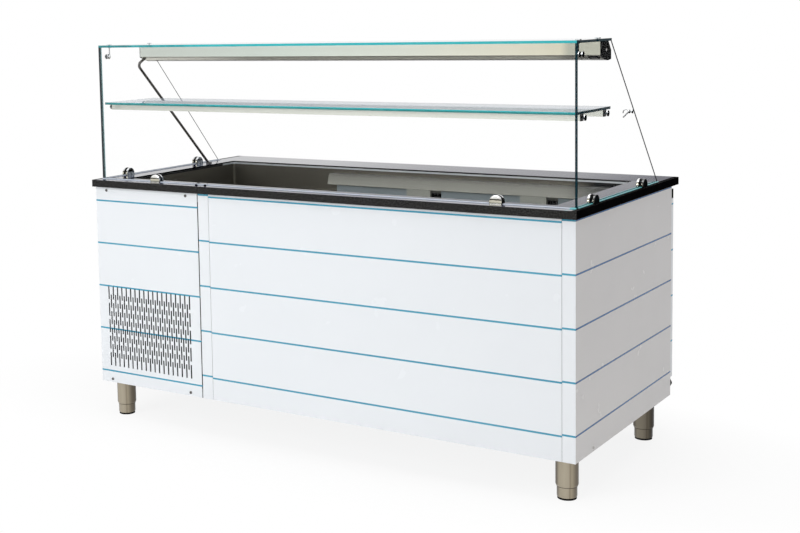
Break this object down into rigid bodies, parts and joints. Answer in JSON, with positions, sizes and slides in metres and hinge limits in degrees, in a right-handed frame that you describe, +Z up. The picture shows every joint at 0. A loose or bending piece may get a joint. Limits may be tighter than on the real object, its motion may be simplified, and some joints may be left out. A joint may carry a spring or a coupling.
{
  "type": "salad bar counter",
  "caption": "Refrigerated salad bar counter with granite worktop, sunken cold well, glass canopy with shelf and lamp, white cabinet on levelling legs and rear hinged doors",
  "frame": {"origin": "on the floor below the middle of the worktop", "axes": "+X along the counter to the right as the customer sees it, +Y towards the operator, +Z up"},
  "size_m": [1.83, 0.9, 1.3525],
  "materials": {
    "white_panel": "smooth white powder coat with thin blue stripes",
    "stainless": "brushed stainless sheet",
    "duct_metal": "satin grey-beige metal",
    "galvanised": "zinc-coated steel",
    "granite": "polished black granite with fine pale specks",
    "insulation_foam": "rigid foam",
    "pane_glass": "clear tempered glass with green-blue edges",
    "chrome_trim": "polished chrome",
    "brushed_rail": "satin steel tube",
    "black_plastic": "moulded black plastic",
    "black_rubber": "soft black rubber",
    "dark_steel": "dark satin coating",
    "coil_fins": "thin aluminium fins",
    "copper_pipe": "bare copper pipe",
    "valve_brass": "plain brass",
    "lever_red": "red dipped lever",
    "pot_black": "black enamelled steel",
    "opal_diffuser": "opal diffusing plastic",
    "lamp_tube": "frosted lamp tube"
  },
  "bodies": {
    "counter": {"chassis_frame": "galvanised", "floor_panel": "galvanised", "leg_sleeves": "stainless", "left_side_panel": "white_panel", "right_side_panel": "white_panel", "machine_front_panel": "white_panel", "front_post_strip": "white_panel", "front_main_panel": "white_panel", "pan_head_screws": "chrome_trim", "rear_face_frame": "stainless", "rear_service_panel": "white_panel", "control_fascia": "black_plastic", "storage_insulation": "insulation_foam", "storage_liner": "stainless", "wire_shelves": "stainless", "hinge_brackets": "dark_steel", "worktop": "granite", "well_basin": "stainless", "well_insulation": "insulation_foam", "air_duct_cover": "duct_metal", "duct_brackets": "stainless", "evaporator_coil": "coil_fins", "drain_valve": "valve_brass", "front_glass": "pane_glass", "left_side_glass": "pane_glass", "right_side_glass": "pane_glass", "top_glass": "pane_glass", "shelf_glass": "pane_glass", "shelf_rails": "brushed_rail", "rail_end_plugs": "black_plastic", "glass_bolts": "chrome_trim", "glass_clamps": "chrome_trim", "clamp_pads": "black_rubber", "corner_connectors": "chrome_trim", "light_housing": "duct_metal", "light_diffuser": "opal_diffuser", "light_tube": "lamp_tube", "housing_end_caps": "black_plastic", "light_conduit": "dark_steel", "conduit_ferrule": "dark_steel", "glass_hook": "chrome_trim", "condensing_unit_tray": "galvanised", "compressor": "pot_black", "condenser_coil": "coil_fins", "fan_shroud": "galvanised", "fan_motor": "pot_black", "refrigerant_pipes": "copper_pipe"},
    "left_door_body": {"left_door": "white_panel", "left_door_gasket": "black_rubber"},
    "right_door_body": {"right_door": "white_panel", "right_door_gasket": "black_rubber"},
    "drain_lever_body": {"drain_lever": "lever_red"},
    "light_switch_body": {"light_switch": "black_plastic"},
    "power_switch_body": {"power_switch": "black_plastic"},
    "thermostat_knob_body": {"thermostat_knob": "black_plastic"},
    "condenser_fan_body": {"condenser_fan": "black_plastic"},
    "foot_front_left_body": {"foot_front_left": "stainless"},
    "foot_front_right_body": {"foot_front_right": "stainless"},
    "foot_rear_left_body": {"foot_rear_left": "stainless"},
    "foot_rear_right_body": {"foot_rear_right": "stainless"}
  },
  "joints": [
    {"name": "left_door_hinge", "type": "hinge", "parent": "counter", "child": "left_door_body", "pos_m": [-0.422, 0.414, 0.4955], "axis": [0, 0, 1], "range_deg": [0, 110]},
    {"name": "right_door_hinge", "type": "hinge", "parent": "counter", "child": "right_door_body", "pos_m": [0.898, 0.414, 0.4955], "axis": [0, 0, -1], "range_deg": [0, 110]},
    {"name": "drain_lever_turn", "type": "hinge", "parent": "counter", "child": "drain_lever_body", "pos_m": [-0.737, -0.067, 0.6215], "axis": [0, 1, 0], "range_deg": [0, 90]},
    {"name": "light_switch_rock", "type": "hinge", "parent": "counter", "child": "light_switch_body", "pos_m": [0.861, -0.17833, 1.29611], "axis": [0, -0.9206, 0.3906], "range_deg": [0, 10]},
    {"name": "power_switch_rock", "type": "hinge", "parent": "counter", "child": "power_switch_body", "pos_m": [-0.62635, 0.40125, 0.762], "axis": [-1, 0, 0], "range_deg": [0, 10]},
    {"name": "thermostat_turn", "type": "hinge", "parent": "counter", "child": "thermostat_knob_body", "pos_m": [-0.71755, 0.403, 0.762], "axis": [0, -1, 0], "range_deg": [0, 270]},
    {"name": "condenser_fan_spin", "type": "hinge", "parent": "counter", "child": "condenser_fan_body", "pos_m": [-0.67575, -0.3245, 0.3215], "axis": [0, -1, 0], "continuous": true},
    {"name": "foot_front_left_slide", "type": "slide", "parent": "counter", "child": "foot_front_left_body", "axis": [0, 0, -1], "range_m": [0, 0.045]},
    {"name": "foot_front_right_slide", "type": "slide", "parent": "counter", "child": "foot_front_right_body", "axis": [0, 0, -1], "range_m": [0, 0.045]},
    {"name": "foot_rear_left_slide", "type": "slide", "parent": "counter", "child": "foot_rear_left_body", "axis": [0, 0, -1], "range_m": [0, 0.045]},
    {"name": "foot_rear_right_slide", "type": "slide", "parent": "counter", "child": "foot_rear_right_body", "axis": [0, 0, -1], "range_m": [0, 0.045]}
  ]
}
